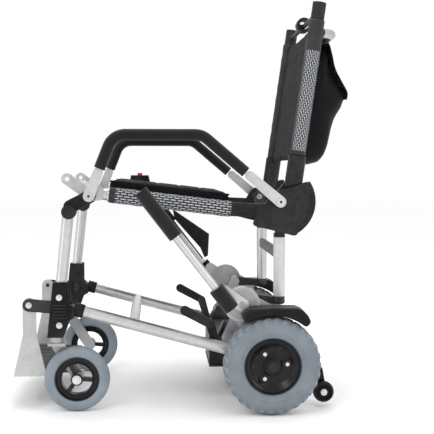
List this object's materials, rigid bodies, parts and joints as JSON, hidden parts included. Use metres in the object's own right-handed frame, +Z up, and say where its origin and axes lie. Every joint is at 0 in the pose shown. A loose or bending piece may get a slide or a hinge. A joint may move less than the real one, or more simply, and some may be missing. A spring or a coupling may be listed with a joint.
{
  "type": "folding powered travel chair",
  "caption": "Folding powered wheelchair with a tube frame, fabric seat and back, loop arms, side steering levers, swivel casters, drive wheels and a footplate.",
  "frame": {"origin": "bottom centre of the chair's box, on the ground", "axes": "+Z up, the chair faces -X, its left side is -Y"},
  "size_m": [0.814, 0.604, 0.9585],
  "materials": {
    "silver_tube": "satin",
    "cast_silver": "satin",
    "black_plastic": "satin",
    "black_metal": "satin",
    "grey_metal": "satin",
    "steel": "polished",
    "drive_tyre": "matt",
    "caster_tyre": "matt",
    "rim": "satin",
    "foam": "matt",
    "mesh_cover": "woven",
    "seat_fabric": "woven",
    "bag_fabric": "woven",
    "red_plastic": "gloss"
  },
  "bodies": {
    "base": {"lower_rails": "silver_tube", "gearboxes": "black_metal", "wheel_axles": "steel", "frame_crossbars": "silver_tube", "fold_brackets": "cast_silver", "side_plates": "cast_silver", "drive_discs": "cast_silver", "motors": "black_metal", "battery_pack": "black_plastic", "battery_tray": "black_metal", "fenders": "black_plastic", "anti_tip_arms": "black_metal", "freewheel_brackets": "black_metal", "front_housings": "black_plastic", "footrest_arms": "black_metal"},
    "footrest": {"footrest_hangers": "cast_silver", "footplate": "grey_metal"},
    "front_leg_link": {"front_legs": "silver_tube", "knee_castings": "black_plastic"},
    "rear_link": {"uprights": "silver_tube", "upright_castings": "black_metal", "upright_crossbar": "grey_metal"},
    "seat": {"seat_rails": "silver_tube", "rail_covers": "mesh_cover", "sector_castings": "black_plastic", "front_link_plates": "cast_silver", "arm_frames": "silver_tube", "arm_pads": "foam", "seat_sling": "seat_fabric", "pivot_bolts": "steel"},
    "back": {"back_posts": "silver_tube", "back_castings": "black_plastic", "post_covers": "mesh_cover", "back_sling": "seat_fabric", "push_bar": "silver_tube", "fold_hook": "black_plastic", "back_bag": "bag_fabric"},
    "caster_swivel_left": {"caster_fork_left": "cast_silver"},
    "caster_swivel_right": {"caster_fork_right": "cast_silver"},
    "caster_wheel_left": {"caster_tyre_left": "caster_tyre", "caster_rim_left": "rim"},
    "caster_wheel_right": {"caster_tyre_right": "caster_tyre", "caster_rim_right": "rim"},
    "rear_wheel_left": {"rear_tyre_left": "drive_tyre", "rear_rim_left": "rim"},
    "rear_wheel_right": {"rear_tyre_right": "drive_tyre", "rear_rim_right": "rim"},
    "lever_left": {"lever_shaft_left": "silver_tube", "lever_grip_left": "foam"},
    "lever_right": {"lever_shaft_right": "silver_tube", "lever_grip_right": "foam", "control_pod": "black_plastic"},
    "button": {"stop_button": "red_plastic"},
    "clutch_left": {"freewheel_lever_left": "black_plastic"},
    "clutch_right": {"freewheel_lever_right": "black_plastic"},
    "tip_wheel_left": {"anti_tip_wheel_left": "black_plastic"},
    "tip_wheel_right": {"anti_tip_wheel_right": "black_plastic"}
  },
  "joints": [
    {"name": "frame_fold", "type": "hinge", "parent": "base", "child": "rear_link", "pos_m": [0.1475, 0, 0.256], "axis": [0, 1, 0], "range_deg": [0, 69]},
    {"name": "seat_level", "type": "hinge", "parent": "rear_link", "child": "seat", "pos_m": [0.2185, 0, 0.491], "axis": [0, 1, 0], "range_deg": [-69, 0]},
    {"name": "front_leg_fold", "type": "hinge", "parent": "base", "child": "front_leg_link", "pos_m": [-0.2945, 0, 0.27], "axis": [0, 1, 0], "range_deg": [0, 69]},
    {"name": "back_fold", "type": "hinge", "parent": "seat", "child": "back", "pos_m": [0.2185, 0, 0.491], "axis": [0, 1, 0], "range_deg": [-90, 0]},
    {"name": "footrest_tuck", "type": "hinge", "parent": "base", "child": "footrest", "pos_m": [-0.3696, 0, 0.2468], "axis": [0, 1, 0], "range_deg": [-75, 0]},
    {"name": "caster_swivel_left", "type": "hinge", "parent": "base", "child": "caster_swivel_left", "pos_m": [-0.302, -0.212, 0.16], "axis": [0, 0, 1], "range_deg": [-180, 25]},
    {"name": "caster_swivel_right", "type": "hinge", "parent": "base", "child": "caster_swivel_right", "pos_m": [-0.302, 0.212, 0.16], "axis": [0, 0, 1], "range_deg": [-25, 180]},
    {"name": "caster_spin_left", "type": "hinge", "parent": "caster_swivel_left", "child": "caster_wheel_left", "pos_m": [-0.2557, -0.212, 0.0762], "axis": [0, 1, 0], "continuous": true},
    {"name": "caster_spin_right", "type": "hinge", "parent": "caster_swivel_right", "child": "caster_wheel_right", "pos_m": [-0.2557, 0.212, 0.0762], "axis": [0, 1, 0], "continuous": true},
    {"name": "rear_wheel_spin_left", "type": "hinge", "parent": "base", "child": "rear_wheel_left", "pos_m": [0.1965, -0.271, 0.1143], "axis": [0, 1, 0], "continuous": true},
    {"name": "rear_wheel_spin_right", "type": "hinge", "parent": "base", "child": "rear_wheel_right", "pos_m": [0.1965, 0.271, 0.1143], "axis": [0, 1, 0], "continuous": true},
    {"name": "steering_lever_left", "type": "hinge", "parent": "base", "child": "lever_left", "pos_m": [0.129, -0.284, 0.252], "axis": [0, 1, 0], "range_deg": [-45, 15]},
    {"name": "steering_lever_right", "type": "hinge", "parent": "base", "child": "lever_right", "pos_m": [0.129, 0.284, 0.252], "axis": [0, 1, 0], "range_deg": [-45, 15]},
    {"name": "stop_button_press", "type": "slide", "parent": "lever_right", "child": "button", "axis": [0, 0, -1], "range_m": [0, 0.003], "stiffness_N_per_m": 400, "springref_m": -0.002},
    {"name": "freewheel_left", "type": "hinge", "parent": "base", "child": "clutch_left", "pos_m": [0.0575, -0.204, 0.1996], "axis": [0, 1, 0], "range_deg": [-18, 0]},
    {"name": "freewheel_right", "type": "hinge", "parent": "base", "child": "clutch_right", "pos_m": [0.0575, 0.204, 0.1996], "axis": [0, 1, 0], "range_deg": [-18, 0]},
    {"name": "anti_tip_spin_left", "type": "hinge", "parent": "base", "child": "tip_wheel_left", "pos_m": [0.3287, -0.21, 0.0348], "axis": [0, 1, 0], "continuous": true},
    {"name": "anti_tip_spin_right", "type": "hinge", "parent": "base", "child": "tip_wheel_right", "pos_m": [0.3287, 0.21, 0.0348], "axis": [0, 1, 0], "continuous": true}
  ],
  "couplings": [
    {"joint": "seat_level", "follows": "frame_fold", "ratio": -1},
    {"joint": "front_leg_fold", "follows": "frame_fold", "ratio": 1}
  ]
}
